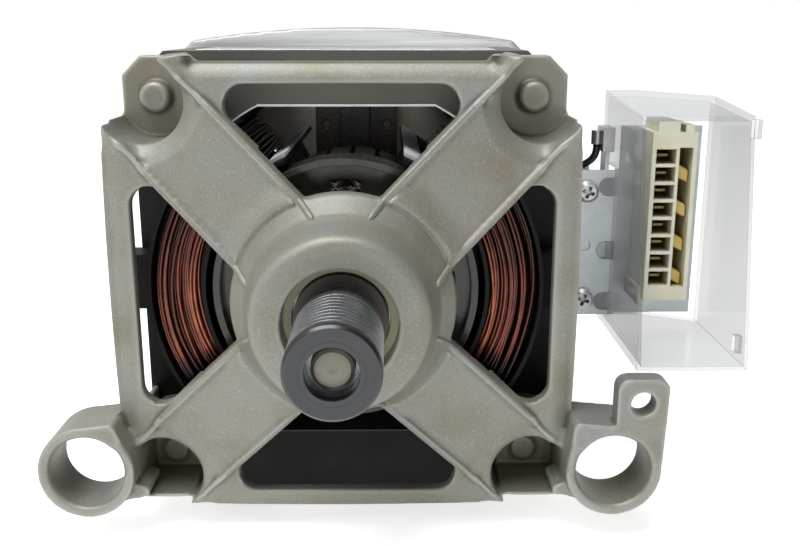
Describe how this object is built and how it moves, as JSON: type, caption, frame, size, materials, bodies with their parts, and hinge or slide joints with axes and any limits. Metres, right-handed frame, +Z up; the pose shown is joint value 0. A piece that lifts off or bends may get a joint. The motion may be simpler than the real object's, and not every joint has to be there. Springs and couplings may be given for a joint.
{
  "type": "washing machine motor",
  "caption": "Open brushed motor for a belt-driven drum: cast cross-arm shield on two mounting eyes, copper field coils, ribbed pulley on the shaft, and a plug socket under a clear hood.",
  "frame": {"origin": "on the shaft axis in the middle plane of the belt ribs on the pulley", "axes": "-Y along the shaft out of the pulley end, +Z up, +X toward the plug socket"},
  "size_m": [0.1892, 0.1853, 0.1314],
  "materials": {
    "cast_aluminium": "sand-textured die casting",
    "zinc_steel": "bright zinc plating",
    "lamination_steel": "stacked electrical sheet, dark lacquer",
    "white_film": "thin white film",
    "silver_plate": "bare glossy silver foil",
    "black_plastic": "moulded satin black",
    "copper_wire": "lacquered copper",
    "bright_steel": "ground steel",
    "dark_steel": "dark machined steel",
    "brown_plastic": "moulded brown-black",
    "seal_rubber": "matte rubber",
    "cream_plastic": "moulded cream",
    "yellow_plastic": "moulded yellow",
    "ferrite": "dull dark grey",
    "carbon": "pressed carbon",
    "brass_contact": "stamped tin-washed brass",
    "clear_plastic": "clear moulded plastic",
    "black_wire": "smooth black insulation"
  },
  "bodies": {
    "motor_frame": {"front_shield": "cast_aluminium", "rear_shield": "cast_aluminium", "through_screws": "zinc_steel", "connector_bracket": "zinc_steel", "bracket_screws": "zinc_steel", "holder_screws": "zinc_steel", "earth_terminal": "zinc_steel", "wave_washer": "zinc_steel", "stator_core": "lamination_steel", "slot_liners": "white_film", "rating_plate": "silver_plate", "left_bobbin": "black_plastic", "right_bobbin": "black_plastic", "sensor_cap": "black_plastic", "left_field_coil": "copper_wire", "right_field_coil": "copper_wire", "front_outer_ring": "bright_steel", "rear_outer_ring": "bright_steel", "upper_brush_spring": "bright_steel", "lower_brush_spring": "bright_steel", "upper_brush_holder": "brown_plastic", "lower_brush_holder": "brown_plastic", "front_bearing_shields": "seal_rubber", "rear_bearing_shields": "seal_rubber", "dust_seal": "cream_plastic", "socket_housing": "cream_plastic", "sensor_coil": "cream_plastic", "socket_lock": "yellow_plastic", "socket_contacts": "brass_contact", "connector_hood": "clear_plastic", "earth_lead": "black_wire"},
    "rotor": {"shaft": "bright_steel", "pulley": "dark_steel", "pulley_collar": "dark_steel", "armature_core": "lamination_steel", "armature_windings": "copper_wire", "cooling_fan": "brown_plastic", "commutator_hub": "brown_plastic", "commutator_bars": "copper_wire", "front_inner_ring": "bright_steel", "rear_inner_ring": "bright_steel", "sensor_magnet": "ferrite"},
    "front_balls": {"front_ball_set": "bright_steel"},
    "rear_balls": {"rear_ball_set": "bright_steel"},
    "upper_brush_carbon": {"upper_brush": "carbon"},
    "lower_brush_carbon": {"lower_brush": "carbon"}
  },
  "joints": [
    {"name": "rotor_spin", "type": "hinge", "parent": "motor_frame", "child": "rotor", "pos_m": [0, 0, 0], "axis": [0, 1, 0], "continuous": true},
    {"name": "front_ball_orbit", "type": "hinge", "parent": "motor_frame", "child": "front_balls", "pos_m": [0, 0, 0], "axis": [0, 1, 0], "continuous": true},
    {"name": "rear_ball_orbit", "type": "hinge", "parent": "motor_frame", "child": "rear_balls", "pos_m": [0, 0, 0], "axis": [0, 1, 0], "continuous": true},
    {"name": "upper_brush_slide", "type": "slide", "parent": "motor_frame", "child": "upper_brush_carbon", "axis": [0, 0, 1], "range_m": [0, 0.005], "stiffness_N_per_m": 300, "springref_m": -0.01, "deforming": ["upper_brush_spring"]},
    {"name": "lower_brush_slide", "type": "slide", "parent": "motor_frame", "child": "lower_brush_carbon", "axis": [0, 0, -1], "range_m": [0, 0.005], "stiffness_N_per_m": 300, "springref_m": -0.01, "deforming": ["lower_brush_spring"]}
  ],
  "couplings": [
    {"joint": "front_ball_orbit", "follows": "rotor_spin", "ratio": 0.388},
    {"joint": "rear_ball_orbit", "follows": "rotor_spin", "ratio": 0.3727}
  ]
}
